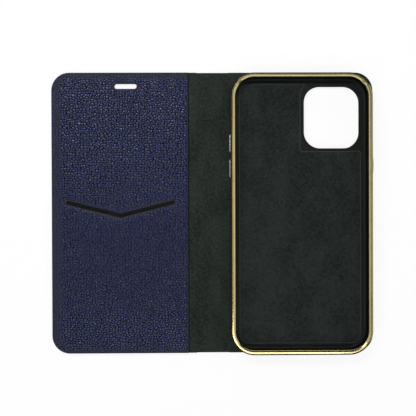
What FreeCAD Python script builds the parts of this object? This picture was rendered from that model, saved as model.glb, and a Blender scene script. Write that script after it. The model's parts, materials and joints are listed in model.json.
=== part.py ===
import FreeCAD, Part
import math
import os
from FreeCAD import Vector

# Book-style phone wallet case, lying open on its back, in millimetres.
# +X runs across the open case from the flap's free edge to the tray, +Y to the phone's top,
# +Z up. The origin is the middle of the open case's footprint, on the surface it lies on.

# ---- the phone that the case is made for ----
PHONE_W = 71.5
PHONE_L = 146.7
PHONE_T = 7.4

# ---- tray: a soft shell that grips the phone, with a plated ring round its mouth ----
WALL = 1.9
SIDE_SLACK = 0.6
TRAY_W = PHONE_W + 2 * WALL + SIDE_SLACK
TRAY_L = PHONE_L + 2 * WALL
TRAY_CORNER_R = 12.8
FLOOR = 1.0
FLOOR_FILLET = 1.5
BOTTOM_EDGE_R = 1.6
PAD_INSET = 4.9
PAD_CORNER_R = 4.5
PAD_T = 0.4
PHONE_LIP = 0.7
RING_H = 1.4
RING_LIP = 0.6
RING_LIP_H = 0.6
RING_OUTER_R = 0.65
RING_INNER_R = 0.4

# ---- sheets of the cover ----
LEATHER = 0.6
LINING = 0.4
BACK_BOARD = 0.8
SPINE_BOARD = 0.4
FLAP_BOARD = 0.9
FLAP_LINING = 0.3
POCKET_GLUE = 0.2
POCKET_LEATHER = 0.7
TRAY_GLUE = 0.2
TRAY_GLUE_INSET = 3.0
BOARD_INSET = 0.3

# ---- cover outline ----
COVER_L = 152.0
COVER_W = 174.1
COVER_CORNER_R = 9.7
TRAY_RIGHT_MARGIN = 1.75
TRAY_SHIFT_Y = -0.6
SPINE_TO_TRAY = 2.6
SPINE_W = 13.5
FLAP_BARE_MARGIN = 6.4
CREASE_GAP = 0.9
BOARD_TO_CREASE = 2.0

# ---- camera opening, from the phone's camera block ----
CAMERA_W = 30.1
CAMERA_L = 33.5
CAMERA_R = 8.8
CAMERA_FROM_RIGHT = 20.75
CAMERA_FROM_TOP = 23.15
CAMERA_COLLAR = 1.2
CAMERA_LIP_H = 0.3
CAMERA_LIP_R = 0.2
CAMERA_COLLAR_UP = 0.1
PAD_CAMERA_GAP_X = 1.8
PAD_CAMERA_GAP_Y = 1.4
PAD_NOTCH_X = 2.6
PAD_NOTCH_Y = 5.4

# ---- side buttons, mute switch slot and charging port; Y places are from the tray's middle ----
VOLUME_UP_Y = 37.9
VOLUME_DOWN_Y = 24.3
VOLUME_LEN = 10.4
POWER_Y = 26.1
POWER_LEN = 9.6
BUTTON_H = 2.8
BUTTON_EDGE_R = 0.35
BUTTON_PROUD = 0.6
POWER_CROWN = 0.25
BUTTON_CAP_IN = 0.3
BUTTON_STEM_CUT = 1.2
BUTTON_STEM_SHORT = 0.2
BUTTON_CLEAR = 0.3
BUTTON_SEAT = 0.9
MUTE_Y = 51.1
MUTE_LEN = 5.6
MUTE_H = 3.2
PORT_W = 9.0
PORT_H = 5.0
PORT_R = 1.2

# ---- flap: card pocket, earpiece slot and closure magnets ----
EARPIECE_W = 12.1
EARPIECE_H = 2.8
EARPIECE_FROM_PANEL = 33.9
EARPIECE_FROM_TOP = 7.35
SLOT_END_FROM_PANEL = 8.4
SLOT_SPAN = 56.8
SLOT_END_Y = 5.7
SLOT_VERTEX_Y = -1.40
SLOT_END_R = 0.95
SLOT_VERTEX_R = 1.0
BOND_FREE_EDGE = 5.3
BOND_TOP = 13.0
BOND_BOTTOM = 5.0
BOND_SPINE_SIDE = 4.0
BOND_CORNER_R = 4.0
MAGNET_W = 3.6
MAGNET_LEN = 20.0
MAGNET_FROM_EDGE = 2.6
MAGNET_Y = 46.0
CATCH_T = 0.6
CATCH_H = 4.0

# ---- worked out from the above ----
COVER_RIGHT = COVER_W / 2
COVER_LEFT = -COVER_W / 2
COVER_TOP = COVER_L / 2
TRAY_RIGHT = COVER_RIGHT - TRAY_RIGHT_MARGIN
TRAY_LEFT = TRAY_RIGHT - TRAY_W
TRAY_X = (TRAY_LEFT + TRAY_RIGHT) / 2
TRAY_Y = TRAY_SHIFT_Y
BACK_CREASE_X = TRAY_LEFT - SPINE_TO_TRAY
FLAP_CREASE_X = BACK_CREASE_X - SPINE_W
PANEL_RIGHT = FLAP_CREASE_X - FLAP_BARE_MARGIN

Z_LEATHER = LEATHER
Z_BACK_BOARD = Z_LEATHER + BACK_BOARD
Z_BACK_LINING = Z_BACK_BOARD + LINING
Z_TRAY = Z_BACK_LINING + TRAY_GLUE
Z_FLOOR = Z_TRAY + FLOOR
Z_PAD = Z_FLOOR + PAD_T
Z_PHONE_TOP = Z_PAD + PHONE_T
Z_RIM = Z_PHONE_TOP + PHONE_LIP
Z_RING = Z_RIM - RING_H
Z_PHONE_MIDDLE = Z_PAD + PHONE_T / 2
Z_FLAP_BOARD = Z_LEATHER + FLAP_BOARD
Z_FLAP_LINING = Z_FLAP_BOARD + FLAP_LINING
Z_POCKET_GLUE = Z_FLAP_LINING + POCKET_GLUE
Z_POCKET = Z_POCKET_GLUE + POCKET_LEATHER

CAMERA_X = TRAY_RIGHT - CAMERA_FROM_RIGHT
CAMERA_Y = TRAY_Y + TRAY_L / 2 - CAMERA_FROM_TOP
EARPIECE_X = PANEL_RIGHT - EARPIECE_FROM_PANEL
EARPIECE_Y = COVER_TOP - EARPIECE_FROM_TOP
OVERCUT = 1.0


def outline(x0, x1, y0, y1, r_left, r_right):
    """Closed wire of a rectangle whose left and right corners have their own radii."""
    corners = [(x0, y0, r_left), (x1, y0, r_right), (x1, y1, r_right), (x0, y1, r_left)]
    into = [(1, 1), (-1, 1), (-1, -1), (1, -1)]
    starts = []
    for i, (x, y, r) in enumerate(corners):
        sx, sy = into[i]
        along_y = Vector(x, y + sy * r, 0)
        along_x = Vector(x + sx * r, y, 0)
        centre = Vector(x + sx * r, y + sy * r, 0)
        middle = centre + Vector(-sx * r, -sy * r, 0) * math.sqrt(0.5)
        ends = (along_y, along_x) if i % 2 == 0 else (along_x, along_y)
        starts.append((ends[0], middle, ends[1], r))
    edges = []
    for i, (first, middle, last, r) in enumerate(starts):
        if r > 0:
            edges.append(Part.Arc(first, middle, last).toShape())
        following = starts[(i + 1) % 4][0]
        if last.distanceToPoint(following) > 1e-6:
            edges.append(Part.LineSegment(last, following).toShape())
    return Part.Wire(edges)


def plate(x0, x1, y0, y1, z0, z1, r_left=0.0, r_right=0.0):
    """Flat plate with rounded corners between two heights."""
    face = Part.Face(outline(x0, x1, y0, y1, r_left, r_right))
    face.translate(Vector(0, 0, z0))
    return face.extrude(Vector(0, 0, z1 - z0))


def centred(cx, cy, w, h, z0, z1, r):
    """Plate given by its middle, size and one corner radius."""
    return plate(cx - w / 2, cx + w / 2, cy - h / 2, cy + h / 2, z0, z1, r, r)


def tray_plate(inset, z0, z1):
    """Plate with the tray's plan outline, brought in by inset on every side."""
    return centred(TRAY_X, TRAY_Y, TRAY_W - 2 * inset, TRAY_L - 2 * inset, z0, z1, TRAY_CORNER_R - inset)


def camera_plate(grow, z0, z1):
    """Plate with the camera opening's outline, grown by grow on every side."""
    return centred(CAMERA_X, CAMERA_Y, CAMERA_W + 2 * grow, CAMERA_L + 2 * grow, z0, z1, CAMERA_R + grow)


def side_bar(x0, x1, y, length, z, height, r):
    """Bar along X with a rounded rectangular section in the YZ plane."""
    bar = centred(0, 0, height, length, 0, x1 - x0, r)
    bar.rotate(Vector(0, 0, 0), Vector(0, 1, 0), 90)
    bar.translate(Vector(x0, y, z))
    return bar


def ring_edges(shape, inset, z):
    """Edges at height z of the tray outline that is brought in by inset."""
    near = 1e-3
    path = outline(TRAY_LEFT + inset, TRAY_RIGHT - inset,
                   TRAY_Y - TRAY_L / 2 + inset, TRAY_Y + TRAY_L / 2 - inset,
                   TRAY_CORNER_R - inset, TRAY_CORNER_R - inset)
    path.translate(Vector(0, 0, z))
    found = []
    for edge in shape.Edges:
        box = edge.BoundBox
        middle = edge.valueAt((edge.FirstParameter + edge.LastParameter) / 2)
        is_flat = abs(box.ZMin - z) < near and abs(box.ZMax - z) < near
        if is_flat and path.distToShape(Part.Vertex(middle))[0] < near:
            found.append(edge)
    return found


# ---- the cover's back: leather, board and lining under the tray ----

def back_sheet(z0, z1, from_crease, inset=0.0):
    """One layer of the back panel, with the camera opening cut for the tray's collar."""
    sheet = plate(BACK_CREASE_X + from_crease, COVER_RIGHT - inset, -COVER_TOP + inset, COVER_TOP - inset,
                  z0, z1, 0.0, COVER_CORNER_R - inset)
    return sheet.cut(camera_plate(CAMERA_COLLAR, z0 - OVERCUT, z1 + OVERCUT))


def strip(x0, x1, z0, z1):
    """Straight-ended stretch of an inner layer, from the cover's bottom edge to its top."""
    return plate(x0, x1, -COVER_TOP + BOARD_INSET, COVER_TOP - BOARD_INSET, z0, z1)


def back_leather():
    return back_sheet(0, Z_LEATHER, CREASE_GAP)


def back_board():
    return back_sheet(Z_LEATHER, Z_BACK_BOARD, BOARD_TO_CREASE, BOARD_INSET)


def back_lining():
    """Lining that steps down from the board onto the leather beside the crease."""
    board_edge = BACK_CREASE_X + BOARD_TO_CREASE
    top = back_sheet(Z_BACK_BOARD, Z_BACK_LINING, BOARD_TO_CREASE - LINING, BOARD_INSET)
    step = strip(BACK_CREASE_X + CREASE_GAP, board_edge, Z_LEATHER, Z_LEATHER + LINING)
    riser = strip(board_edge - LINING, board_edge, Z_LEATHER, Z_BACK_BOARD)
    return top.fuse([step, riser]).removeSplitter()


def tray_glue():
    """Film of adhesive that holds the tray on the lining, short of the tray's rounded edge."""
    film = tray_plate(TRAY_GLUE_INSET, Z_BACK_LINING, Z_TRAY)
    return film.cut(camera_plate(CAMERA_COLLAR, Z_BACK_LINING - OVERCUT, Z_TRAY + OVERCUT))


# ---- the tray ----

def button_pocket(side, y, length):
    """Stepped window in a side wall: a seat for the cap outside, and a slot for its stem."""
    wall_out = TRAY_LEFT if side < 0 else TRAY_RIGHT
    z = Z_PHONE_MIDDLE
    seat_h = BUTTON_H + 2 * BUTTON_CLEAR
    seat_l = length + 2 * BUTTON_CLEAR
    slot_h = seat_h - BUTTON_STEM_CUT
    slot_l = seat_l - BUTTON_STEM_CUT
    if side < 0:
        seat = side_bar(wall_out - OVERCUT, wall_out + BUTTON_SEAT, y, seat_l, z, seat_h, seat_h / 2)
        slot = side_bar(wall_out, wall_out + WALL + OVERCUT, y, slot_l, z, slot_h, slot_h / 2)
    else:
        seat = side_bar(wall_out - BUTTON_SEAT, wall_out + OVERCUT, y, seat_l, z, seat_h, seat_h / 2)
        slot = side_bar(wall_out - WALL - OVERCUT, wall_out, y, slot_l, z, slot_h, slot_h / 2)
    return seat.fuse(slot)


def catch_plate(y):
    """Steel strip moulded into the right wall, which the flap's magnet pulls on."""
    corner = Vector(TRAY_RIGHT - (WALL + CATCH_T) / 2, y - MAGNET_LEN / 2, Z_RING - CATCH_T - CATCH_H)
    return Part.makeBox(CATCH_T, MAGNET_LEN, CATCH_H, corner)


def tray_shell():
    """Soft tray: floor, walls with their windows, and a collar down through the camera opening."""
    body = tray_plate(0, Z_TRAY, Z_RING)
    body = body.makeFillet(BOTTOM_EDGE_R, ring_edges(body, 0, Z_TRAY))
    cavity = tray_plate(WALL, Z_FLOOR, Z_RING + OVERCUT)
    cavity = cavity.makeFillet(FLOOR_FILLET, ring_edges(cavity, WALL, Z_FLOOR))
    body = body.cut(cavity)
    body = body.cut(camera_plate(CAMERA_COLLAR / 2, -OVERCUT, Z_RIM))
    body = body.fuse(camera_collar())
    cutters = [button_pocket(-1, TRAY_Y + VOLUME_UP_Y, VOLUME_LEN),
               button_pocket(-1, TRAY_Y + VOLUME_DOWN_Y, VOLUME_LEN),
               button_pocket(1, TRAY_Y + POWER_Y, POWER_LEN),
               side_bar(TRAY_LEFT - OVERCUT, TRAY_LEFT + WALL + OVERCUT, TRAY_Y + MUTE_Y, MUTE_LEN,
                        Z_PHONE_MIDDLE, MUTE_H, MUTE_H / 2),
               charging_port(),
               catch_plate(TRAY_Y + MAGNET_Y),
               catch_plate(TRAY_Y - MAGNET_Y)]
    return body.cut(cutters).removeSplitter()


def camera_collar():
    """Collar round the camera opening, down to the leather's outer face, with a rounded lip on top."""
    top = Z_FLOOR + CAMERA_LIP_H
    collar = camera_plate(CAMERA_COLLAR, CAMERA_COLLAR_UP, top)
    collar = collar.cut(camera_plate(0, -OVERCUT, top + OVERCUT))
    lip_edges = [edge for edge in collar.Edges if edge.BoundBox.ZMin > top - CAMERA_LIP_R]
    return collar.makeFillet(CAMERA_LIP_R, lip_edges)


def charging_port():
    """Rounded opening through the bottom wall, opposite the phone's socket."""
    bar = centred(0, 0, PORT_W, PORT_H, 0, WALL + 2 * OVERCUT, PORT_R)
    bar.rotate(Vector(0, 0, 0), Vector(1, 0, 0), 90)
    bar.translate(Vector(TRAY_X, TRAY_Y - TRAY_L / 2 + WALL + OVERCUT, Z_PHONE_MIDDLE))
    return bar


def rim_ring():
    """Plated ring on top of the wall, with a lip that reaches over the phone's edge."""
    lower = tray_plate(0, Z_RING, Z_RIM).cut(tray_plate(WALL, Z_RING - OVERCUT, Z_RIM - RING_LIP_H))
    ring = lower.cut(tray_plate(WALL + RING_LIP, Z_RING - OVERCUT, Z_RIM + OVERCUT))
    ring = ring.makeFillet(RING_OUTER_R, ring_edges(ring, 0, Z_RIM))
    return ring.makeFillet(RING_INNER_R, ring_edges(ring, WALL + RING_LIP, Z_RIM))


def tray_pad():
    """Microfibre pad on the tray's floor, cut back round the camera opening with a slant corner."""
    pad = centred(TRAY_X, TRAY_Y, TRAY_W - 2 * PAD_INSET, TRAY_L - 2 * PAD_INSET, Z_FLOOR, Z_PAD, PAD_CORNER_R)
    left = CAMERA_X - CAMERA_W / 2 - PAD_CAMERA_GAP_X
    low = CAMERA_Y - CAMERA_L / 2 - PAD_CAMERA_GAP_Y
    top = TRAY_Y + TRAY_L / 2 - PAD_INSET
    right = TRAY_RIGHT
    points = [(left, low), (right, low), (right, top + OVERCUT), (left + PAD_NOTCH_X, top + OVERCUT),
              (left + PAD_NOTCH_X, top), (left, top - PAD_NOTCH_Y), (left, low)]
    notch = Part.Face(Part.makePolygon([Vector(x, y, Z_FLOOR - OVERCUT) for x, y in points]))
    return pad.cut(notch.extrude(Vector(0, 0, PAD_T + 2 * OVERCUT)))


# ---- buttons ----

def side_button(side, y, length, crown):
    """Plated cap with a narrower stem; the cap stands proud of the wall, more at its middle."""
    z = Z_PHONE_MIDDLE
    stem_h = BUTTON_H - BUTTON_STEM_CUT
    stem_l = length - BUTTON_STEM_CUT
    face = -BUTTON_PROUD - crown
    cap = side_bar(face, BUTTON_CAP_IN, y, length, z, BUTTON_H, BUTTON_H / 2)
    if crown > 0:
        # a cylinder about Z through both ends of the cap leaves it highest in the middle
        half = length / 2
        radius = (half * half + crown * crown) / (2 * crown)
        cap = cap.common(Part.makeCylinder(radius, 2 * BUTTON_H, Vector(radius + face, y, z - BUTTON_H)))
    front = [edge for edge in cap.Edges if edge.BoundBox.XMax < -BUTTON_PROUD / 2]
    cap = cap.makeFillet(BUTTON_EDGE_R, front)
    stem = side_bar(BUTTON_CAP_IN, WALL - BUTTON_STEM_SHORT, y, stem_l, z, stem_h, stem_h / 2)
    button = cap.fuse(stem).removeSplitter()
    if side > 0:
        button = button.mirror(Vector(0, 0, 0), Vector(1, 0, 0))
        button.translate(Vector(TRAY_RIGHT, 0, 0))
    else:
        button.translate(Vector(TRAY_LEFT, 0, 0))
    return button


# ---- the spine ----

def spine_leather():
    return plate(FLAP_CREASE_X, BACK_CREASE_X, -COVER_TOP, COVER_TOP, 0, Z_LEATHER)


def spine_board():
    return strip(FLAP_CREASE_X + BOARD_TO_CREASE, BACK_CREASE_X - BOARD_TO_CREASE,
                 Z_LEATHER, Z_LEATHER + SPINE_BOARD)


def spine_lining():
    """Lining over the spine's board, down on the leather at both creases."""
    whole = strip(FLAP_CREASE_X, BACK_CREASE_X, Z_LEATHER, Z_LEATHER + LINING)
    raised = strip(FLAP_CREASE_X + BOARD_TO_CREASE - LINING, BACK_CREASE_X - BOARD_TO_CREASE + LINING,
                   Z_LEATHER, Z_LEATHER + SPINE_BOARD + LINING)
    return whole.fuse(raised).cut(spine_board()).removeSplitter()


# ---- the flap ----

def earpiece_cut(z0, z1):
    return centred(EARPIECE_X, EARPIECE_Y, EARPIECE_W, EARPIECE_H, z0 - OVERCUT, z1 + OVERCUT,
                   EARPIECE_H / 2)


def flap_sheet(z0, z1, right, inset=0.0):
    """One layer of the flap, out to its free edge, with the earpiece slot through it."""
    sheet = plate(COVER_LEFT + inset, right, -COVER_TOP + inset, COVER_TOP - inset,
                  z0, z1, COVER_CORNER_R - inset, 0.0)
    return sheet.cut(earpiece_cut(z0, z1))


def flap_leather():
    return flap_sheet(0, Z_LEATHER, FLAP_CREASE_X - CREASE_GAP)


def closure_magnet(y):
    """Bar magnet let into the board beside the flap's free edge."""
    return Part.makeBox(MAGNET_W, MAGNET_LEN, FLAP_BOARD,
                        Vector(COVER_LEFT + MAGNET_FROM_EDGE - MAGNET_W / 2, y - MAGNET_LEN / 2, Z_LEATHER))


def flap_board():
    board = flap_sheet(Z_LEATHER, Z_FLAP_BOARD, FLAP_CREASE_X - BOARD_TO_CREASE, BOARD_INSET)
    return board.cut([closure_magnet(TRAY_Y + MAGNET_Y), closure_magnet(TRAY_Y - MAGNET_Y)])


def flap_lining():
    """Lining seen through the card slot and beside the pocket, down on the leather at the crease."""
    board_edge = FLAP_CREASE_X - BOARD_TO_CREASE
    top = flap_sheet(Z_FLAP_BOARD, Z_FLAP_LINING, board_edge + FLAP_LINING, BOARD_INSET)
    riser = strip(board_edge, board_edge + FLAP_LINING, Z_LEATHER, Z_FLAP_BOARD)
    step = strip(board_edge, FLAP_CREASE_X - CREASE_GAP, Z_LEATHER, Z_LEATHER + FLAP_LINING)
    return top.fuse([riser, step]).removeSplitter()


def pocket_glue():
    """Bond line round the pocket: the leather panel is stuck down on it along all four sides."""
    film = flap_sheet(Z_FLAP_LINING, Z_POCKET_GLUE, PANEL_RIGHT - BOARD_INSET, BOARD_INSET)
    room = plate(COVER_LEFT + BOND_FREE_EDGE, PANEL_RIGHT - BOND_SPINE_SIDE,
                 -COVER_TOP + BOND_BOTTOM, COVER_TOP - BOND_TOP,
                 Z_FLAP_LINING - OVERCUT, Z_POCKET_GLUE + OVERCUT, BOND_CORNER_R, BOND_CORNER_R)
    return film.cut(room)


def card_slot():
    """Shallow V-shaped slot with round ends, a little wider at its point."""
    z0 = Z_POCKET_GLUE - OVERCUT
    height = POCKET_LEATHER + 2 * OVERCUT
    right = Vector(PANEL_RIGHT - SLOT_END_FROM_PANEL, SLOT_END_Y, z0)
    left = Vector(right.x - SLOT_SPAN, SLOT_END_Y, z0)
    vertex = Vector((left.x + right.x) / 2, SLOT_VERTEX_Y, z0)
    up = Vector(0, 0, 1)
    pieces = [Part.makeCylinder(SLOT_VERTEX_R, height, vertex, up)]
    for end in (left, right):
        across = up.cross(vertex - end).normalize()
        corners = [end + across * SLOT_END_R, vertex + across * SLOT_VERTEX_R,
                   vertex - across * SLOT_VERTEX_R, end - across * SLOT_END_R]
        arm = Part.Face(Part.makePolygon(corners + corners[:1]))
        pieces.append(arm.extrude(up * height))
        pieces.append(Part.makeCylinder(SLOT_END_R, height, end, up))
    return pieces[0].fuse(pieces[1:]).removeSplitter()


def pocket_panel():
    return flap_sheet(Z_POCKET_GLUE, Z_POCKET, PANEL_RIGHT).cut(card_slot())


NODES = {
    "back_leather": back_leather(),
    "back_board": back_board(),
    "back_lining": back_lining(),
    "tray_glue": tray_glue(),
    "tray_shell": tray_shell(),
    "rim_ring": rim_ring(),
    "tray_pad": tray_pad(),
    "catch_plate_upper": catch_plate(TRAY_Y + MAGNET_Y),
    "catch_plate_lower": catch_plate(TRAY_Y - MAGNET_Y),
    "volume_up_button": side_button(-1, TRAY_Y + VOLUME_UP_Y, VOLUME_LEN, 0.0),
    "volume_down_button": side_button(-1, TRAY_Y + VOLUME_DOWN_Y, VOLUME_LEN, 0.0),
    "power_button": side_button(1, TRAY_Y + POWER_Y, POWER_LEN, POWER_CROWN),
    "spine_leather": spine_leather(),
    "spine_board": spine_board(),
    "spine_lining": spine_lining(),
    "flap_leather": flap_leather(),
    "flap_board": flap_board(),
    "flap_lining": flap_lining(),
    "pocket_glue": pocket_glue(),
    "pocket_panel": pocket_panel(),
    "closure_magnet_upper": closure_magnet(TRAY_Y + MAGNET_Y),
    "closure_magnet_lower": closure_magnet(TRAY_Y - MAGNET_Y),
}

os.makedirs("parts", exist_ok=True)
for name, shape in NODES.items():
    shape.exportStep("parts/" + name + ".step")
    box = shape.BoundBox
    print(f"{name:22s} solids {len(shape.Solids)} valid {shape.isValid()} volume {shape.Volume:9.1f}"
          f"  x {box.XMin:7.2f}..{box.XMax:7.2f}  y {box.YMin:7.2f}..{box.YMax:7.2f}"
          f"  z {box.ZMin:6.2f}..{box.ZMax:6.2f}")
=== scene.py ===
import json
import math
import bpy
import numpy as np
from mathutils.geometry import delaunay_2d_cdt
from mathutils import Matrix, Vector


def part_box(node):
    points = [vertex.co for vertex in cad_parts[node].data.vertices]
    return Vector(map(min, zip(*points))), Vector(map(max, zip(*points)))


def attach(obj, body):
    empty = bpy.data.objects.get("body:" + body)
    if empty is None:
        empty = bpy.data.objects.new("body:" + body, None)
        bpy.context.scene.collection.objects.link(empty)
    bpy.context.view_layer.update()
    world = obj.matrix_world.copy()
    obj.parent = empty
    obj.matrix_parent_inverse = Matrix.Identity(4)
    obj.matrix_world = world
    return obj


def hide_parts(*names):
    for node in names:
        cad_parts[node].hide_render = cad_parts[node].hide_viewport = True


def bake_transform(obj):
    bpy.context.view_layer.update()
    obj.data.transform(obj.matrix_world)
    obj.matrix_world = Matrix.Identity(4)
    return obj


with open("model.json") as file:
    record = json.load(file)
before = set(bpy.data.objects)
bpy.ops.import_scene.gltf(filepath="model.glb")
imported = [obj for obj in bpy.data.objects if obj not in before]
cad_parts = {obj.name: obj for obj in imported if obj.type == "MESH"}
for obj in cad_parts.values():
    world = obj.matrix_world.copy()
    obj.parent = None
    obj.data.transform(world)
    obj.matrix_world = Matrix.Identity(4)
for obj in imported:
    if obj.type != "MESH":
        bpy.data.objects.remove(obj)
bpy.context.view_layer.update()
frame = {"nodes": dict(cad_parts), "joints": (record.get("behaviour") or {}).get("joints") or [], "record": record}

# Phone wallet case lying open. The script works in millimetres and makes its meshes in metres.
# +X runs from the flap's free edge to the tray, +Y to the phone's top, +Z up.
MM = 0.001


def span(node):
    """Lowest and highest corners of a CAD node, in mm."""
    low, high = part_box(node)
    return np.array(low) / MM, np.array(high) / MM


# ---- places that come from the frame ----
flap_low, flap_high = span("flap_leather")
panel_low, panel_high = span("pocket_panel")
lining_low, lining_high = span("flap_lining")
back_low, back_high = span("back_leather")
spine_lining_high = span("spine_lining")[1]
spine_board_low, spine_board_high = span("spine_board")
back_lining_low, back_lining_high = span("back_lining")
back_board_low, back_board_high = span("back_board")
flap_board_high = span("flap_board")[1]
ring_low, ring_high = span("rim_ring")
pad_low, pad_high = span("tray_pad")
CREASES = {j["name"]: j["pos_m"][0] / MM for j in frame["joints"] if "fold" in j["name"]}
FLAP_CREASE = CREASES["flap_fold"]
BACK_CREASE = CREASES["spine_fold"]
SEAM = (FLAP_CREASE + BACK_CREASE) / 2
OPENINGS = {o["name"]: np.array(o["box_m"]) / MM for o in frame["record"]["physics"]["openings"]}
CAMERA_MID = OPENINGS["camera_opening"].mean(0)[:2]

# ---- shapes of the cuts and corners, in mm, the same as the part's ----
EARPIECE = (panel_high[0] - 33.9, panel_high[1] - 7.35)
EARPIECE_W = 12.1
EARPIECE_R = 1.4
SLOT_RIGHT_X = panel_high[0] - 8.4
SLOT_SPAN = 56.8
SLOT_END_Y = 5.7
SLOT_POINT_Y = -1.40
SLOT_END_R = 0.95
SLOT_POINT_R = 1.0
CAMERA_W = 30.1
CAMERA_L = 33.5
CAMERA_R = 8.8
COLLAR = 1.2
COVER_R = 9.7
TRAY_R = 12.8
PAD_R = 4.5

# ---- choices of the visual model, in mm ----
HOLE_STEP = 1.5         # about the longest edge of a mesh along a hole or the pad's outline
SLOT_STEP = 1.2         # and along the card slot


# ---------------------------------------------------------------- mesh helpers

MERGE_MM = 1e-7         # points nearer than this are one point
SLIVER_MM2 = 1e-9       # flat triangles with less than half of this area are left out
GRID_CLEAR = 0.45       # a face's inner points stay this share of their spacing from its edge
GRID_CLEAR_MM = 0.15    # and at least this far


def arc(cx, cy, r, start, stop, count):
    """Points along an arc, both ends included, angles in degrees."""
    t = np.radians(np.linspace(start, stop, count))
    return np.stack([cx + r * np.cos(t), cy + r * np.sin(t)], 1)


def drop_repeats(loop):
    """A closed loop without points that repeat the one before."""
    gap = np.linalg.norm(loop - np.roll(loop, 1, 0), axis=1)
    return loop[gap > 1e-4]


def rounded_loop(x0, x1, y0, y1, r_left, r_right, xs, ys, count=13):
    """Counter-clockwise loop of a rectangle with round corners, with points at the given xs and ys."""
    inner = [x for x in xs if x0 + r_left + 0.05 < x < x1 - r_right - 0.05]
    left = [y for y in ys if y0 + r_left + 0.05 < y < y1 - r_left - 0.05]
    right = [y for y in ys if y0 + r_right + 0.05 < y < y1 - r_right - 0.05]
    parts = [arc(x0 + r_left, y0 + r_left, r_left, 180, 270, count if r_left else 1),
             np.array([[x, y0] for x in inner]).reshape(-1, 2),
             arc(x1 - r_right, y0 + r_right, r_right, 270, 360, count if r_right else 1),
             np.array([[x1, y] for y in right]).reshape(-1, 2),
             arc(x1 - r_right, y1 - r_right, r_right, 0, 90, count if r_right else 1),
             np.array([[x, y1] for x in reversed(inner)]).reshape(-1, 2),
             arc(x0 + r_left, y1 - r_left, r_left, 90, 180, count if r_left else 1),
             np.array([[x0, y] for y in reversed(left)]).reshape(-1, 2)]
    return drop_repeats(np.concatenate(parts))


def capsule_loop(a, b, ra, rb, count=13):
    """Counter-clockwise loop round two circles and the straight lines that touch both."""
    a, b = np.array(a, float), np.array(b, float)
    heading = math.degrees(math.atan2(b[1] - a[1], b[0] - a[0]))
    lean = math.degrees(math.asin((ra - rb) / np.linalg.norm(b - a)))
    return np.concatenate([arc(b[0], b[1], rb, heading - 90 + lean, heading + 90 - lean, count),
                           arc(a[0], a[1], ra, heading + 90 - lean, heading + 270 + lean, count)])


def inset_loop(loop, d):
    """The loop moved to its left by d, with mitred corners."""
    before = loop - np.roll(loop, 1, 0)
    after = np.roll(loop, -1, 0) - loop
    before = before / np.linalg.norm(before, axis=1)[:, None]
    after = after / np.linalg.norm(after, axis=1)[:, None]
    normal = np.stack([-(before + after)[:, 1], (before + after)[:, 0]], 1)
    normal = normal / np.linalg.norm(normal, axis=1)[:, None]
    edge_normal = np.stack([-before[:, 1], before[:, 0]], 1)
    along = np.clip((normal * edge_normal).sum(1), 0.3, 1)
    return loop + normal * (d / along)[:, None]


def subdivide(loop, step):
    """The closed loop with its long edges divided to about step."""
    out = []
    for p, q in zip(loop, np.roll(loop, -1, 0)):
        n = max(1, int(round(np.linalg.norm(q - p) / step)))
        out += [p + (q - p) * i / n for i in range(n)]
    return np.array(out)


def distance_to(points, loops):
    """Distance from each point to the nearest of the closed loops."""
    best = np.full(len(points), 1e9)
    for loop in loops:
        for p, q in zip(loop, np.roll(loop, -1, 0)):
            along = q - p
            t = np.clip(((points - p) @ along) / (along @ along), 0, 1)
            gap = points - (p + t[:, None] * along)
            best = np.minimum(best, np.hypot(gap[:, 0], gap[:, 1]))
    return best


def inside(points, loops):
    """True for points that are inside an odd number of the loops."""
    odd = np.zeros(len(points), bool)
    for loop in loops:
        for (x0, y0), (x1, y1) in zip(loop, np.roll(loop, -1, 0)):
            if y0 == y1:
                continue
            crosses = (points[:, 1] > min(y0, y1)) & (points[:, 1] <= max(y0, y1))
            x = x0 + (points[:, 1] - y0) * (x1 - x0) / (y1 - y0)
            odd ^= crosses & (points[:, 0] < x)
    return odd


def smooth(t):
    t = np.clip(t, 0, 1)
    return t * t * (3 - 2 * t)


def new_piece(name, verts, faces, materials, face_slots=None, attributes=None, sharp=40):
    """Object with a smooth-shaded mesh, from points in mm."""
    mesh = bpy.data.meshes.new(name)
    mesh.from_pydata((np.asarray(verts, float) * MM).tolist(), [], faces)
    for m in materials:
        mesh.materials.append(m)
    mesh.polygons.foreach_set("use_smooth", [True] * len(mesh.polygons))
    if face_slots is not None:
        mesh.polygons.foreach_set("material_index", list(face_slots))
    for key, values in (attributes or {}).items():
        mesh.attributes.new(key, "FLOAT", "POINT").data.foreach_set("value", np.asarray(values, np.float32))
    mesh.attributes.new("at_rest", "FLOAT_VECTOR", "POINT").data.foreach_set(
        "vector", (np.asarray(verts, np.float32) * MM).ravel())
    mesh.set_sharp_from_angle(angle=math.radians(sharp))
    mesh.update()
    piece = bpy.data.objects.new(name, mesh)
    bpy.context.scene.collection.objects.link(piece)
    return piece


def edge_profile(r_top, r_bottom, thickness, steps=3):
    """Pairs of inset and height share, from the bottom face round the edge to the top face."""
    pairs = []
    for i in range(steps + 1):
        a = math.pi / 2 * i / steps
        pairs.append((r_bottom * (1 - math.sin(a)), r_bottom * (1 - math.cos(a)) / thickness))
    for i in range(steps + 1):
        a = math.pi / 2 * i / steps
        pairs.append((r_top * (1 - math.cos(a)), 1 - r_top * (1 - math.sin(a)) / thickness))
    return pairs


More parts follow.
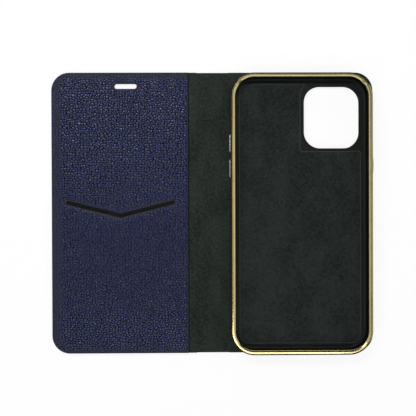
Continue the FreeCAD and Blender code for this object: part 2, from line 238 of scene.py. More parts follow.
def fill_flat(plan, rings, inner, face_up):
    """Triangles between the rings and through the inner points, which are all indices into the plan."""
    ids = [i for ring in rings for i in ring] + list(inner)
    points = [tuple(plan[i]) for i in ids]
    edges, base = [], 0
    for ring in rings:
        n = len(ring)
        edges += [(base + i, base + (i + 1) % n) for i in range(n)]
        base += n
    made, _, triangles, origin, _, _ = delaunay_2d_cdt(points, edges, [], 0, MERGE_MM, True)
    source = [o[0] if o else None for o in origin]
    mids = np.array([[sum(made[i][c] for i in t) / 3 for c in (0, 1)] for t in triangles])
    faces = []
    for t, wanted in zip(triangles, inside(mids, [np.array([plan[i] for i in ring]) for ring in rings])):
        if not wanted or None in [source[i] for i in t]:
            continue
        face = [ids[source[i]] for i in t]
        (ax, ay), (bx, by), (cx, cy) = [plan[i] for i in face]
        turn = (bx - ax) * (cy - ay) - (by - ay) * (cx - ax)
        if abs(turn) < SLIVER_MM2:
            continue
        if (turn > 0) != face_up:
            face.reverse()
        faces.append(tuple(face))
    return faces


def sheet_solid(name, outer, holes, xs, ys, top, bottom, pairs, materials, seam=None, extra=(),
                press_and_painted_light=None):
    """Closed sheet between two height functions of (points, distance to the edge).

    outer and holes are loops with the material on their left. pairs gives the edge's profile.
    extra lists insets of more loops on the top face, near the edge. The face that the seam names
    stays straight up and down. The second material goes on the edge."""
    loops = [np.array(outer)] + [np.array(h) for h in holes]
    rows = list(pairs) + [(d, 1.0) for d in extra]
    plan, share, faces, slots = [], [], [], []
    top_rings, bottom_rings = [], []
    for loop in loops:
        n = len(loop)
        start = len(plan)
        for d, s in rows:
            moved = inset_loop(loop, d)
            if seam is not None:
                moved[:, 0] = np.where(np.abs(loop[:, 0] - seam) < 1e-6, seam, moved[:, 0])
            plan += list(moved)
            share += [s] * n
        for k in range(len(rows) - 1):
            a, b = start + k * n, start + (k + 1) * n
            faces += [(a + i, a + (i + 1) % n, b + (i + 1) % n, b + i) for i in range(n)]
            slots += [1 if k < len(pairs) - 1 else 0] * n
        last = start + (len(rows) - 1) * n
        bottom_rings.append(list(range(start, start + n)))
        top_rings.append(list(range(last, last + n)))

    rims = [np.array([plan[i] for i in ring]) for ring in top_rings]
    grid = np.array([(x, y) for x in xs for y in ys])
    grid = grid[inside(grid, rims)]
    spacing = GRID_CLEAR * min(np.min(np.diff(np.sort(xs))), np.min(np.diff(np.sort(ys))))
    grid = grid[distance_to(grid, rims) > max(GRID_CLEAR_MM, spacing)]
    for rings, at_top in ((top_rings, True), (bottom_rings, False)):
        first = len(plan)
        plan += list(grid)
        share += [float(at_top)] * len(grid)
        flat = fill_flat(plan, rings, range(first, len(plan)), at_top)
        faces += flat
        slots += [0] * len(flat)

    plan, share = np.array(plan), np.array(share)
    d = distance_to(plan, loops)
    low = bottom(plan, d)
    z = low + (top(plan, d) - low) * share
    marks = {"press_and_painted_light": press_and_painted_light(plan, d)} if press_and_painted_light else None
    return new_piece(name, np.column_stack([plan, z]), faces, materials, slots, marks)


def swept_ring(name, loop, section, materials, sharp):
    """Closed tube: at each loop point, section gives (inset, height) pairs round the ring's section."""
    n, m = len(loop), len(section)
    verts, faces = [], []
    for d, z in section:
        verts += [(x, y, z) for x, y in inset_loop(loop, d)]
    for k in range(m):
        a, b = k * n, ((k + 1) % m) * n
        faces += [(a + i, a + (i + 1) % n, b + (i + 1) % n, b + i) for i in range(n)]
    return new_piece(name, verts, faces, materials, sharp=sharp)


# ---------------------------------------------------------------- materials

class Nodes:
    """Small helper for building a material's node tree."""

    def __init__(self, name, bends=False):
        """A material for a sheet that bends takes its places from where the sheet's points lie at rest."""
        self.material = bpy.data.materials.new(name)
        self.material.use_nodes = True
        self.tree = self.material.node_tree
        self.shader = self.tree.nodes["Principled BSDF"]
        if bends:
            self.coords = self.node("ShaderNodeAttribute", attribute_name="at_rest").outputs["Vector"]
        else:
            self.coords = self.node("ShaderNodeTexCoord").outputs["Object"]

    def node(self, kind, inputs=None, **settings):
        made = self.tree.nodes.new(kind)
        for key, value in settings.items():
            setattr(made, key, value)
        for key, value in (inputs or {}).items():
            self.set(made.inputs[key], value)
        return made

    def set(self, socket, value):
        if isinstance(value, bpy.types.NodeSocket):
            self.tree.links.new(value, socket)
        else:
            socket.default_value = value

    def scaled(self, per_mm, stretch=(1, 1, 1)):
        """Object coordinates with the given number of cells to the millimetre."""
        factor = [per_mm / MM * s for s in stretch]
        return self.node("ShaderNodeVectorMath", {0: self.coords, 1: factor}, operation="MULTIPLY").outputs[0]

    def noise(self, vector, detail=2.0, scale=1.0, rough=0.5):
        return self.node("ShaderNodeTexNoise", {"Vector": vector, "Scale": scale, "Detail": detail,
                                                "Roughness": rough}).outputs["Fac"]

    def math(self, kind, a, b=0.0, c=0.0, clamp=False):
        made = self.node("ShaderNodeMath", {0: a, 1: b, 2: c}, operation=kind)
        made.use_clamp = clamp
        return made.outputs[0]

    def ramp(self, value, low, high, out_low=0.0, out_high=1.0):
        made = self.node("ShaderNodeMapRange", {"Value": value, "From Min": low, "From Max": high,
                                                "To Min": out_low, "To Max": out_high},
                         interpolation_type="SMOOTHSTEP")
        return made.outputs[0]

    def mix(self, share, a, b):
        made = self.node("ShaderNodeMix", data_type="RGBA")
        self.set(made.inputs["Factor"], share)
        for socket, value in ((made.inputs["A"], a), (made.inputs["B"], b)):
            self.set(socket, value if isinstance(value, bpy.types.NodeSocket) else (*value, 1.0))
        return made.outputs["Result"]

    def mark(self, name):
        return self.node("ShaderNodeAttribute", attribute_name=name).outputs["Fac"]

    def bump(self, height, distance_mm, strength=1.0, under=None):
        inputs = {"Height": height, "Distance": distance_mm * MM, "Strength": strength}
        if under is not None:
            inputs["Normal"] = under
        return self.node("ShaderNodeBump", inputs).outputs["Normal"]

    def finish(self, **values):
        """Sets the shader's own sockets, by name, and returns the material."""
        names = {"color": "Base Color", "rough": "Roughness", "normal": "Normal", "metal": "Metallic",
                 "sheen": "Sheen Weight", "sheen_rough": "Sheen Roughness", "sheen_tint": "Sheen Tint",
                 "specular": "Specular IOR Level", "transmission": "Transmission Weight",
                 "emission": "Emission Color", "glow": "Emission Strength"}
        for key, value in values.items():
            self.set(self.shader.inputs[names[key]], value)
        return self.material


# Heights on the flap, in mm, between which the grain turns shallow and is darkened with painted shade over the
# pocket, and back again.
SHALLOW_SHADE_FROM, SHALLOW_SHADE_FULL = 34, -14
GRAIN_BACK_FROM, GRAIN_BACK_FULL = -49, -58
PAINTED_SHADE_TINT = (0.001, 0.003, 0.050)


def pebbled_leather(name, cell_mm, dome_mm, base, deep, has_press=False, bends=False):
    """Pressed-grain leather: round pebbles with narrow valleys.

    has_press is for the flap's panel: the grain is flattened along the marked border, and
    shallower over the card pocket, where a darker tint is painted on as shade."""
    m = Nodes(name, bends)
    wobble = m.node("ShaderNodeTexNoise", {"Vector": m.scaled(0.6 / cell_mm), "Scale": 1.0, "Detail": 2.0})
    place = m.node("ShaderNodeVectorMath", {0: wobble.outputs["Color"], 1: (0.8, 0.8, 0.0),
                                            2: m.scaled(1 / cell_mm, (0.92, 1.08, 1))},
                   operation="MULTIPLY_ADD").outputs[0]
    cells = {"Vector": place, "Scale": 1.0, "Randomness": 0.8}
    edge = m.node("ShaderNodeTexVoronoi", cells, voronoi_dimensions="2D", feature="DISTANCE_TO_EDGE")
    near = m.node("ShaderNodeTexVoronoi", cells, voronoi_dimensions="2D", feature="F1")
    valley = m.ramp(edge.outputs["Distance"], 0.02, 0.26)
    away = m.math("DIVIDE", near.outputs["Distance"], 0.72)
    dome = m.math("SUBTRACT", 1.0, m.math("MULTIPLY", away, away), clamp=True)
    valley_share, dome_share = 0.45, 0.55
    pebble = m.math("ADD", m.math("MULTIPLY", valley, valley_share), m.math("MULTIPLY", dome, dome_share))
    uneven = m.ramp(m.noise(m.scaled(0.30), 2.0), 0.3, 0.7, 0.7, 1.0)
    height = m.math("MULTIPLY", pebble, uneven)
    tone = m.ramp(m.noise(m.scaled(0.05), 2.0), 0.3, 0.7)
    top = m.mix(tone, [c * 0.92 for c in base], [c * 1.10 for c in base])
    # The colour follows the pebbles' height, near-black in the valleys and lighter on the domes: partly the
    # grain's own two-tone finish, partly painted shade in the valleys.
    color = m.mix(m.ramp(pebble, 0.42, 0.90), deep, top)
    rough = m.ramp(m.noise(m.scaled(1.3), 3.0), 0.3, 0.7, 0.20, 0.30)
    if has_press:
        press_and_painted_light = m.mark("press_and_painted_light")
        up = m.node("ShaderNodeSeparateXYZ", {"Vector": m.coords}).outputs["Y"]
        shallow_and_shaded = m.math("MULTIPLY", m.ramp(up, SHALLOW_SHADE_FROM * MM, SHALLOW_SHADE_FULL * MM),
                         m.ramp(up, GRAIN_BACK_FULL * MM, GRAIN_BACK_FROM * MM))
        height = m.math("MULTIPLY", height, m.ramp(press_and_painted_light, 0.0, 1.0, 1.0, 0.45))
        height = m.math("MULTIPLY", height, m.ramp(shallow_and_shaded, 0.0, 1.0, 1.0, 0.70))
        # Painted shade: the panel from its upper middle to near its bottom edge is tinted a deeper navy.
        color = m.mix(m.math("MULTIPLY", shallow_and_shaded, 0.52), color, PAINTED_SHADE_TINT)
        flat = [0.16 * b + 0.84 * d for b, d in zip(base, deep)]
        color = m.mix(m.ramp(press_and_painted_light, 0.1, 1.0, 0.0, 0.72), color, flat)
        rough = m.math("ADD", rough, m.ramp(press_and_painted_light, 0.0, 1.0, 0.0, 0.25))
    under = m.bump(m.noise(m.scaled(6.0), 3.0, 1.0, 0.6), 0.015, 0.6)
    normal = m.bump(height, dome_mm / dome_share, 1.0, under)
    return m.finish(color=color, rough=rough, normal=normal, specular=0.42)


def painted_edge(name, base):
    """Edge paint over the cut edge of the layers, a little uneven."""
    m = Nodes(name)
    layer = m.noise(m.scaled(0.8, (1, 1, 6)), 3.0)
    normal = m.bump(layer, 0.08, 0.7)
    color = m.mix(layer, [c * 0.7 for c in base], [c * 1.3 for c in base])
    return m.finish(color=color, rough=m.ramp(layer, 0.3, 0.7, 0.42, 0.6), normal=normal)


def microfibre(name, base, light, lean=(1.0, 0.25), painted_light_tint=None, bends=False):
    """Short napped lining: fine fibres that lie mostly one way, brushed lighter in soft patches."""
    m = Nodes(name, bends)
    fibres = m.noise(m.scaled(5.0, (lean[0], lean[1], 1)), 4.0, 1.0, 0.7)
    speckle = m.noise(m.scaled(0.75), 4.0, 1.0, 0.7)
    patches = m.noise(m.scaled(0.09, (1, 0.5, 1)), 3.0)
    normal = m.bump(fibres, 0.06, 0.8)
    mixed = m.math("ADD", m.math("MULTIPLY", fibres, 0.5), m.math("MULTIPLY", speckle, 0.5))
    color = m.mix(m.ramp(mixed, 0.36, 0.64), base, light)
    color = m.mix(m.ramp(patches, 0.35, 0.65, 0.0, 0.25), color, [c * 1.5 for c in light])
    # Where the mark is set the colour turns to painted_light_tint: painted shade on the lining under the pocket, a
    # painted highlight along the pad's edge.
    if painted_light_tint:
        color = m.mix(m.ramp(m.mark("press_and_painted_light"), 0.0, 1.0, 0.0, 0.70), color, painted_light_tint)
    return m.finish(color=color, rough=0.95, normal=normal, specular=0.15, sheen=0.35, sheen_rough=0.45,
                    sheen_tint=(0.55, 0.6, 0.55, 1.0))


def soft_plastic(name, base, low, high):
    """Moulded soft plastic with a fine satin texture and faint flow marks."""
    m = Nodes(name)
    fine = m.noise(m.scaled(9.0), 2.0)
    flow = m.noise(m.scaled(0.12), 3.0)
    normal = m.bump(fine, 0.01, 0.5)
    color = m.mix(m.ramp(flow, 0.3, 0.7), [c * 0.85 for c in base], [c * 1.2 for c in base])
    return m.finish(color=color, rough=m.ramp(flow, 0.3, 0.7, low, high), normal=normal, specular=0.3)


def plating(name, base, worn, low, high, brush=None):
    """Plated metal finish with a faint orange-peel and small rub marks."""
    m = Nodes(name)
    peel = m.noise(m.scaled(0.5), 2.0)
    rubs = m.noise(m.scaled(0.15, brush or (1, 1, 1)), 4.0, 1.0, 0.6)
    normal = m.bump(peel, 0.001, 0.3)
    color = m.mix(m.ramp(rubs, 0.35, 0.75), base, worn)
    return m.finish(color=color, rough=m.ramp(rubs, 0.3, 0.7, low, high), normal=normal, metal=1.0)


def fibre_board(name, base):
    """Grey pressed board, seen only at cut edges."""
    m = Nodes(name)
    grain = m.noise(m.scaled(2.2, (1, 1, 4)), 4.0)
    normal = m.bump(grain, 0.05, 0.6)
    color = m.mix(grain, [c * 0.6 for c in base], [c * 1.4 for c in base])
    return m.finish(color=color, rough=0.85, normal=normal)


def clear_glue(name):
    """Dried adhesive film, slightly cloudy."""
    m = Nodes(name)
    cloud = m.noise(m.scaled(0.4), 3.0)
    color = m.mix(cloud, (0.30, 0.28, 0.22), (0.48, 0.45, 0.38))
    return m.finish(color=color, rough=m.ramp(cloud, 0.3, 0.7, 0.25, 0.45), normal=m.bump(cloud, 0.05, 0.5),
                    transmission=0.4)


NAVY = (0.045, 0.059, 0.185)
NAVY_VALLEY = (0.003, 0.004, 0.015)
GRAIN = (1.38, 0.23)    # a pebble's width and height, mm
LEATHER = pebbled_leather("pebbled navy leather", *GRAIN, NAVY, NAVY_VALLEY, has_press=True)
OUTER_LEATHER = pebbled_leather("outer navy leather", *GRAIN, NAVY, NAVY_VALLEY, bends=True)
EDGE_PAINT = painted_edge("painted leather edge", (0.012, 0.014, 0.018))
# The lining's tint where its mark is set is painted shade under the pocket, with a painted contact shadow just
# past its edge.
STRIP_CLOTH = microfibre("lining microfibre", (0.008, 0.011, 0.009), (0.050, 0.060, 0.052),
                         painted_light_tint=(0.003, 0.004, 0.003), bends=True)
# The pad's tint where its mark is set is a painted highlight along its cut edge.
PAD_CLOTH = microfibre("pad microfibre", (0.008, 0.011, 0.010), (0.039, 0.047, 0.043),
                       painted_light_tint=(0.075, 0.085, 0.078))
TRAY_PLASTIC = soft_plastic("black soft plastic", (0.0045, 0.0080, 0.0050), 0.46, 0.62)
GOLD = plating("gold plating", (0.70, 0.60, 0.29), (0.64, 0.55, 0.26), 0.15, 0.17)
SILVER = plating("satin silver plating", (0.66, 0.61, 0.52), (0.56, 0.52, 0.43), 0.34, 0.46, (1, 0.15, 1))
STEEL = plating("bare steel", (0.52, 0.53, 0.55), (0.36, 0.36, 0.38), 0.3, 0.5, (1, 0.1, 1))
BOARD = fibre_board("grey board", (0.06, 0.06, 0.06))
GLUE = clear_glue("clear adhesive")

# the CAD nodes that show as they are
for material, nodes in (
        (TRAY_PLASTIC, ("tray_shell",)),
        (SILVER, ("volume_up_button", "volume_down_button", "power_button")),
        (STEEL, ("catch_plate_upper", "catch_plate_lower", "closure_magnet_upper", "closure_magnet_lower")),
        (BOARD, ("back_board", "spine_board", "flap_board")),
        (GLUE, ("tray_glue", "pocket_glue"))):
    for node in nodes:
        held = frame["nodes"][node].data.materials
        if not held:
            held.append(material)
        for i in range(len(held)):
            held[i] = material


# ---------------------------------------------------------------- loops of the cuts

def earpiece_loop():
    """Clockwise loop of the earpiece slot."""
    half = EARPIECE_W / 2 - EARPIECE_R
    x, y = EARPIECE
    loop = capsule_loop((x - half, y), (x + half, y), EARPIECE_R, EARPIECE_R)
    return subdivide(loop, HOLE_STEP)[::-1]


def camera_loop(grow):
    """Clockwise loop of the camera opening, grown on all sides."""
    w, h, r = CAMERA_W / 2 + grow, CAMERA_L / 2 + grow, CAMERA_R + grow
    x, y = CAMERA_MID
    return subdivide(rounded_loop(x - w, x + w, y - h, y + h, r, r, [], []), HOLE_STEP)[::-1]


def card_slot_loop():
    """Clockwise loop of the shallow V slot: two arms that widen to its point, and round ends."""
    right = np.array([SLOT_RIGHT_X, SLOT_END_Y])
    left = right - [SLOT_SPAN, 0]
    point = np.array([(left[0] + right[0]) / 2, SLOT_POINT_Y])
    arm = right - point
    length = np.linalg.norm(arm)
    heading = math.degrees(math.atan2(arm[1], arm[0]))
    lean = math.degrees(math.asin((SLOT_POINT_R - SLOT_END_R) / length))
    low = -90 + heading + lean
    high = 90 + heading - lean
    end_arc = arc(right[0], right[1], SLOT_END_R, low, high, 13)
    # the arms' upper edges meet above the point
    direction = np.radians(high - 90)
    start = point + SLOT_POINT_R * np.array([math.cos(np.radians(high)), math.sin(np.radians(high))])
    notch_y = start[1] + (point[0] - start[0]) * math.tan(direction)
    turn = arc(point[0], point[1], SLOT_POINT_R, -180 - low, low, 9)
    mirror = end_arc[::-1] * [-1, 1] + [2 * point[0], 0]
    loop = np.concatenate([turn, end_arc, [[point[0], notch_y]], mirror])
    return subdivide(drop_repeats(loop), SLOT_STEP)[::-1]


# ---------------------------------------------------------------- the cover

# places of the meshes' columns and rows, mm
ROWS = np.arange(-74.0, 74.1, 4.0)
POCKET_ROWS = np.arange(-75.0, 75.1, 1.6)
CREASE_COLUMNS = np.round(np.arange(-2.6, 2.61, 0.26), 3)
LEATHER_STEP, LINING_STEP, POCKET_STEP = 4.0, 3.0, 1.6


def columns(x0, x1, step, creases=()):
    """Grid columns: coarse over the panels and close together across the creases."""
    near = sorted(c + dx for c in creases for dx in CREASE_COLUMNS)
    coarse = [x for x in np.arange(x0 + step, x1 - 0.4 * step, step)
              if all(abs(x - c) > CREASE_COLUMNS[-1] + 0.4 * step for c in creases)]
    return np.array(sorted(list(coarse) + [x for x in near if x0 + 0.2 < x < x1 - 0.2]))


GROOVE_DEPTH, GROOVE_HALF = 0.14, 0.7


def leather_top(points, d):
    return np.full(len(points), flap_high[2])


def leather_bottom(points, d):
    """Outer face, with a shallow pressed groove along each crease."""
    z = np.zeros(len(points))
    for c in (FLAP_CREASE, BACK_CREASE):
        z += GROOVE_DEPTH * np.exp(-((points[:, 0] - c) / GROOVE_HALF) ** 2)
    return z


LEATHER_EDGE = edge_profile(0.05, 0.22, 0.6)
xs = columns(flap_low[0], SEAM, LEATHER_STEP, [FLAP_CREASE])
flap_skin = sheet_solid(
    "flap_skin", rounded_loop(flap_low[0], SEAM, flap_low[1], flap_high[1], COVER_R, 0, xs, ROWS),
    [earpiece_loop()], xs, ROWS, leather_top, leather_bottom, LEATHER_EDGE, [OUTER_LEATHER, EDGE_PAINT],
    seam=SEAM)
xs = columns(SEAM, back_high[0], LEATHER_STEP, [BACK_CREASE])
back_skin = sheet_solid(
    "back_skin", rounded_loop(SEAM, back_high[0], back_low[1], back_high[1], 0, COVER_R, xs, ROWS),
    [camera_loop(COLLAR)], xs, ROWS, leather_top, leather_bottom, LEATHER_EDGE, [OUTER_LEATHER, EDGE_PAINT],
    seam=SEAM)

# The lining bridges from board to board and dips a little over each crease.
CREASE_FLOOR = 1.16
DIP_HALF = 0.3          # half the width of the dip's flat bottom, on the panels' sides
SPINE_OVERLAP = 0.6     # the slope goes on this far over the spine's board
LINING_T = 0.34


def lining_top(points, d):
    x = points[:, 0]
    out_f = smooth((FLAP_CREASE - DIP_HALF - x) / (FLAP_CREASE - flap_board_high[0]))
    out_b = smooth((x - BACK_CREASE - DIP_HALF) / (back_board_low[0] - BACK_CREASE))
    mid_f = smooth((x - FLAP_CREASE) / (spine_board_low[0] - FLAP_CREASE + SPINE_OVERLAP))
    mid_b = smooth((BACK_CREASE - x) / (BACK_CREASE - spine_board_high[0] + SPINE_OVERLAP))
    z = CREASE_FLOOR + (spine_lining_high[2] - CREASE_FLOOR) * np.minimum(mid_f, mid_b)
    z = np.where(x < FLAP_CREASE, CREASE_FLOOR + (lining_high[2] - CREASE_FLOOR) * out_f, z)
    return np.where(x > BACK_CREASE, CREASE_FLOOR + (back_lining_high[2] - CREASE_FLOOR) * out_b, z)


def lining_bottom(points, d):
    return lining_top(points, d) - LINING_T


def painted_pocket_shade(points, d):
    """1 under the pocket, where the lining is darkened with painted shade, fading out just past the pocket's edge
    into a painted contact shadow.
    """
    return 1 - smooth((points[:, 0] - panel_high[0] - 0.1) / 0.6)


LINING_EDGE = edge_profile(0.14, 0.05, LINING_T)
# Close columns where the painted shade fades out past the pocket's edge.
SHADE_COLUMNS = (-0.6, 0.1, 0.25, 0.4, 0.55, 0.7, 1.1)
SHADE_CLEAR = 1.2
INSET = lining_low[0] - flap_low[0]
xs = columns(lining_low[0], SEAM, LINING_STEP, [FLAP_CREASE])
xs = xs[np.abs(xs - panel_high[0]) > SHADE_CLEAR]
xs = np.sort(np.concatenate([xs, panel_high[0] + np.array(SHADE_COLUMNS)]))
flap_lining_skin = sheet_solid(
    "flap_lining_skin",
    rounded_loop(lining_low[0], SEAM, lining_low[1], lining_high[1], COVER_R - INSET, 0, xs, ROWS),
    [earpiece_loop()], xs, ROWS, lining_top, lining_bottom, LINING_EDGE, [STRIP_CLOTH, EDGE_PAINT],
    seam=SEAM, press_and_painted_light=painted_pocket_shade)
xs = columns(SEAM, back_lining_high[0], LINING_STEP, [BACK_CREASE])
back_lining_skin = sheet_solid(
    "back_lining_skin",
    rounded_loop(SEAM, back_lining_high[0], back_lining_low[1], back_lining_high[1], 0, COVER_R - INSET,
                 xs, ROWS),
    [camera_loop(COLLAR)], xs, ROWS, lining_top, lining_bottom, LINING_EDGE, [STRIP_CLOTH, EDGE_PAINT],
    seam=SEAM)

# ---- the pocket's leather ----
PRESS_FREE, PRESS_TOP, PRESS_BOTTOM, PRESS_SPINE = 5.3, 4.0, 2.6, 0.7   # width of the pressed border
PRESS_DEPTH = 0.16
FULLNESS = 0.05
SLOT_LOOP = card_slot_loop()
EAR_LOOP = earpiece_loop()
POCKET_EDGE = edge_profile(0.30, 0.06, 0.7, 4)


def pocket_press(points, d):
    """1 in the flattened border, fading to 0 where the full grain begins."""
    x, y = points[:, 0], points[:, 1]
    near = np.minimum.reduce([(x - panel_low[0]) / PRESS_FREE, (panel_high[1] - y) / PRESS_TOP,
                              (y - panel_low[1]) / PRESS_BOTTOM, (panel_high[0] - x) / PRESS_SPINE])
    slot = distance_to(points, [SLOT_LOOP, EAR_LOOP])
    border = (1 - smooth((near - 0.45) / 0.9)) * (0.72 + 0.28 * smooth(d / 1.4))
    return np.maximum(border, 0.8 * (1 - smooth((slot - 0.5) / 1.1)))


def pocket_top(points, d):
    """Pressed down along the border, slightly full over the pocket, and rolled over at the slot."""
    x, y = points[:, 0], points[:, 1]
    z = panel_high[2] - PRESS_DEPTH * pocket_press(points, d)
    wave = FULLNESS * np.sin(x / 11.0 + 0.6) * np.cos(y / 17.0 - 0.4)
    return z + wave * smooth(d / 14)


def pocket_bottom(points, d):
    return np.full(len(points), panel_low[2])


xs = columns(panel_low[0], panel_high[0], POCKET_STEP)
pocket_leather = sheet_solid(
    "pocket_leather",
    rounded_loop(panel_low[0], panel_high[0], panel_low[1], panel_high[1], COVER_R, 0, xs, POCKET_ROWS),
    [EAR_LOOP, SLOT_LOOP], xs, POCKET_ROWS, pocket_top, pocket_bottom, POCKET_EDGE, [LEATHER, EDGE_PAINT],
    extra=[0.6, 1.0], press_and_painted_light=pocket_press)


# ---- edge paint that closes the sides of the boards ----
COAT_STEP = 4


def coat_band(name, path, z0, z1):
    """Band of edge paint along a path, slightly crowned outwards, with closed ends."""
    depth = INSET - 0.02
    section = [(depth, z0 + 0.02), (0.06, z0 + 0.02), (0.0, z0 + 0.25 * (z1 - z0)),
               (-0.02, (z0 + z1) / 2), (0.0, z1 - 0.25 * (z1 - z0)), (0.08, z1 - 0.03), (depth, z1 - 0.03)]
    n, m = len(path), len(section)
    step = np.gradient(path, axis=0)
    step = step / np.linalg.norm(step, axis=1)[:, None]
    left = np.stack([-step[:, 1], step[:, 0]], 1)
    verts, faces = [], []
    for d, z in section:
        verts += [(*p, z) for p in path + left * d]
    for k in range(m):
        a, b = k * n, ((k + 1) % m) * n
        faces += [(a + i, a + i + 1, b + i + 1, b + i) for i in range(n - 1)]
    faces.append(tuple(k * n for k in range(m)))
    faces.append(tuple(k * n + n - 1 for k in reversed(range(m))))
    return new_piece(name, verts, faces, [EDGE_PAINT])


def u_path(x_open, x_closed, y0, y1, r, turn):
    """Path along one long edge, round the closed end and back along the other, material on its left.

    turn is 1 where the closed end is at the right and -1 where it is at the left."""
    if turn > 0:
        corner_a = arc(x_closed - r, y0 + r, r, 270, 360, 13)
        corner_b = arc(x_closed - r, y1 - r, r, 0, 90, 13)
        path = [[[x_open, y0]], corner_a, corner_b, [[x_open, y1]]]
    else:
        corner_a = arc(x_closed + r, y1 - r, r, 90, 180, 13)
        corner_b = arc(x_closed + r, y0 + r, r, 180, 270, 13)
        path = [[[x_open, y1]], corner_a, corner_b, [[x_open, y0]]]
    points = np.concatenate([np.array(p, float) for p in path])
    out = [points[0]]
    for p, q in zip(points, points[1:]):
        n = max(1, int(np.linalg.norm(q - p) / COAT_STEP))
        out += [p + (q - p) * (i + 1) / n for i in range(n)]
    return np.array(out)


flap_edge_coat = coat_band(
    "flap_edge_coat", u_path(flap_board_high[0], flap_low[0], flap_low[1], flap_high[1], COVER_R, -1),
    flap_high[2], panel_low[2])
back_edge_coat = coat_band(
    "back_edge_coat", u_path(back_board_low[0], back_high[0], back_low[1], back_high[1], COVER_R, 1),
    flap_high[2], back_board_high[2] + 0.15)

# ---------------------------------------------------------------- the tray's ring and pad

RING_STEP = 6.0
RING_ARC_POINTS = 33
OUTER_BEVEL_W, OUTER_BEVEL_DROP = 0.82, 0.62
INNER_BEVEL_FROM, INNER_BEVEL_TO, INNER_BEVEL_DROP = 1.50, 2.43, 0.535
RIM = ring_high[2]
ring_loop = rounded_loop(ring_low[0], ring_high[0], ring_low[1], ring_high[1], TRAY_R, TRAY_R,
                         np.arange(ring_low[0], ring_high[0], RING_STEP),
                         np.arange(ring_low[1], ring_high[1], RING_STEP), RING_ARC_POINTS)


def bevel(u0, z0, u1, z1, bulge):
    """Section points from one corner of a bevel to the other, bulged outwards."""
    t = np.linspace(0, 1, 3)
    normal = np.array([-(z1 - z0), u1 - u0]) / math.hypot(u1 - u0, z1 - z0)
    lift = bulge * 4 * t * (1 - t)
    return [(u0 + (u1 - u0) * k + normal[0] * h, z0 + (z1 - z0) * k + normal[1] * h) for k, h in zip(t, lift)]


# round the ring's section: outer wall, outer bevel, flat top, inner bevel, lip over the phone, inner wall
section = [(0.0, ring_low[2]), (0.0, ring_low[2] + 0.5)]
section += bevel(0.0, RIM - OUTER_BEVEL_DROP, OUTER_BEVEL_W, RIM, 0.01)
section += bevel(INNER_BEVEL_FROM, RIM, INNER_BEVEL_TO, RIM - INNER_BEVEL_DROP, 0.015)
section += [(2.49, RIM - 0.60), (2.42, RIM - 0.66), (1.9, RIM - 0.66), (1.9, ring_low[2])]
rim_plating = swept_ring("rim_plating", ring_loop, section, [GOLD], sharp=18)

# the pad's loop, cut back beside and below the camera opening
pad_outer = rounded_loop(pad_low[0], pad_high[0], pad_low[1], pad_high[1], PAD_R, PAD_R, [], [], 7)
notch_x = CAMERA_MID[0] - CAMERA_W / 2 - 1.8
notch_y = CAMERA_MID[1] - CAMERA_L / 2 - 1.4
right_x, top_y = pad_high[0], pad_high[1]
notch = [(right_x, notch_y - 1.2), (right_x - 0.4, notch_y - 0.3), (right_x - 1.2, notch_y),
         (notch_x + 0.5, notch_y), (notch_x, notch_y + 0.5), (notch_x, top_y - 5.8),
         (notch_x + 0.2, top_y - 5.0), (notch_x + 2.4, top_y - 0.3), (notch_x + 2.2, top_y)]
below = pad_outer[:, 1] < notch_y
beside = (pad_outer[:, 1] > notch_y) & (pad_outer[:, 0] < notch_x)
pad_loop = subdivide(drop_repeats(np.concatenate([pad_outer[below], notch, pad_outer[beside]])), HOLE_STEP)
PAD_WAVE = 0.02
PAD_STEP = 3.0


def pad_top(points, d):
    return pad_high[2] - PAD_WAVE + PAD_WAVE * np.sin(points[:, 0] / 9) * np.sin(points[:, 1] / 13)


def pad_bottom(points, d):
    return np.full(len(points), pad_low[2])


def painted_pad_highlight(points, d):
    """1 along the pad's cut edge, where a lighter line is painted on as a highlight."""
    return 1 - smooth((d - 0.2) / 0.5)


pad_nap = sheet_solid("pad_nap", pad_loop, [], np.arange(pad_low[0] + PAD_STEP, pad_high[0], PAD_STEP),
                      np.arange(pad_low[1] + PAD_STEP, pad_high[1], PAD_STEP), pad_top, pad_bottom,
                      edge_profile(0.16, 0.03, 0.4), [PAD_CLOTH, PAD_CLOTH], extra=[0.4, 0.8], press_and_painted_light=painted_pad_highlight)

# ---------------------------------------------------------------- how each piece is carried

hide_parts("flap_leather", "spine_leather")
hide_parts("back_leather", "spine_leather")
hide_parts("flap_lining", "spine_lining")
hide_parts("back_lining", "spine_lining")
for piece in (flap_skin, flap_lining_skin):
    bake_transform(piece)
for piece in (back_skin, back_lining_skin):
    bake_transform(piece)
for piece, body, replaced, slot in (
        (pocket_leather, "flap", "pocket_panel", "navy_leather"),
        (rim_plating, "back", "rim_ring", "gold_plating"),
        (pad_nap, "back", "tray_pad", "black_microfibre")):
    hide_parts(replaced)
    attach(piece, body)
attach(flap_edge_coat, "flap")
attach(back_edge_coat, "back")

# ---------------------------------------------------------------- area of a loop, and of the camera opening in the back


def loop_area(loop):
    x, y = loop[:, 0], loop[:, 1]
    return 0.5 * abs((x * np.roll(y, -1) - y * np.roll(x, -1)).sum())


CAMERA_HOLE = loop_area(camera_loop(COLLAR))

# ---------------------------------------------------------------- floor, light and camera

FLOOR = 6000
FLOOR_Z = -0.02
floor = new_piece("floor", [(x * FLOOR, y * FLOOR, FLOOR_Z) for x, y in ((-1, -1), (1, -1), (1, 1), (-1, 1))],
                  [(0, 1, 2, 3)], [])
paper = Nodes("pale floor")
mottle = paper.noise(paper.scaled(0.01), 2.0)
paper.finish(color=paper.mix(mottle, (0.22, 0.22, 0.22), (0.24, 0.24, 0.24)), rough=0.9, specular=0.1,
             emission=(1, 1, 1, 1), glow=0.86)
floor.data.materials.append(paper.material)
floor.visible_glossy = False

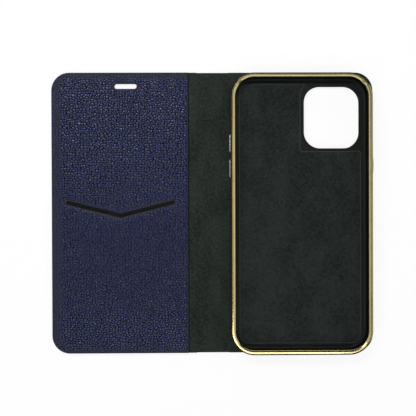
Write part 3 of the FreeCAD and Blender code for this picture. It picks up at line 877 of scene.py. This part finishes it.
# A wall all round, so that low views see no edge to the floor. It lights nothing itself.
WALL_R, WALL_CURVE, WALL_TOP = 5800, 1200, 3500
profile = [*arc(WALL_R - WALL_CURVE, WALL_CURVE, WALL_CURVE, 270, 360, 9), (WALL_R, WALL_TOP)]
turns = np.radians(np.arange(0, 360, 5))
around = len(turns)
wall_points = [(r * math.cos(t), r * math.sin(t), z) for r, z in profile for t in turns]
wall_faces = []
for lower in range(0, (len(profile) - 1) * around, around):
    for i in range(around):
        j = (i + 1) % around
        wall_faces.append((lower + i, lower + j, lower + around + j, lower + around + i))
wall = new_piece("wall", wall_points, wall_faces, [paper.material.copy()])
wall.data.materials[0].cycles.emission_sampling = "NONE"
wall.visible_glossy = False
wall.visible_diffuse = False


def softbox(name, middle, size, turn, radiance, tilt=0):
    """Rectangular light that faces straight down before it is tilted about X and turned about Y."""
    data = bpy.data.lights.new(name, "AREA")
    data.shape = "RECTANGLE"
    data.size, data.size_y = size[0] * MM, size[1] * MM
    data.energy = radiance * math.pi * data.size * data.size_y
    lamp = bpy.data.objects.new(name, data)
    bpy.context.scene.collection.objects.link(lamp)
    lamp.location = [v * MM for v in middle]
    lamp.rotation_euler = (math.radians(tilt), math.radians(turn), 0)
    lamp.visible_camera = False


# Large boxes for the leather's pebbles, which lean to all sides.
softbox("light_front", (0, -410, 450), (1000, 230), 0, 1.0)
softbox("light_back", (0, 235, 450), (900, 110), 0, 1.3)
softbox("light_left", (-370, 0, 450), (240, 360), 0, 0.7)
softbox("light_right", (600, 0, 330), (300, 500), 55, 0.75)
# Narrow strips for the pebbles' highlights and for the ring's bevels and button caps.
softbox("strip_front_flap", (-120, -168, 455), (270, 40), 0, 5.8)
softbox("strip_back_flap", (-120, 200, 455), (270, 50), 0, 13.0)
softbox("strip_front_tray", (67, -158, 455), (175, 50), 0, 4.4)
softbox("strip_top_tray", (110, 142, 455), (190, 30), 0, 0.4)
softbox("strip_left_tray", (28, 0, 450), (32, 190), 0, 0.6)
softbox("strip_right_tray", (171, 0, 450), (36, 190), 0, 0.45)
# Low cards at the side and behind, for the ring's outer bevel and the tray's walls.
softbox("card_right", (385, 0, 60), (100, 500), 88, 0.4)
softbox("card_back", (110, 375, 150), (600, 120), 0, 1.0, -65)

world = bpy.data.worlds.new("studio")
bpy.context.scene.world = world
world.use_nodes = True
background = world.node_tree.nodes["Background"].inputs
background["Color"].default_value = (1, 1, 1, 1)
background["Strength"].default_value = 0.03

VIEW_PLACE = (-7.38, 6.07, 451.9)        # mm, almost straight above the case
VIEW_TURN = (-0.435, -0.617, -0.199)     # degrees about X, Y and Z
camera_data = bpy.data.cameras.new("camera")
camera_data.lens = 71.79
camera_data.sensor_width = 36
camera_data.clip_start = 0.01
camera_data.clip_end = 10
camera = bpy.data.objects.new("camera", camera_data)
bpy.context.scene.collection.objects.link(camera)
camera.location = [v * MM for v in VIEW_PLACE]
camera.rotation_euler = [math.radians(a) for a in VIEW_TURN]
bpy.context.scene.camera = camera
bpy.context.scene.view_settings.view_transform = "Standard"

bpy.context.view_layer.update()
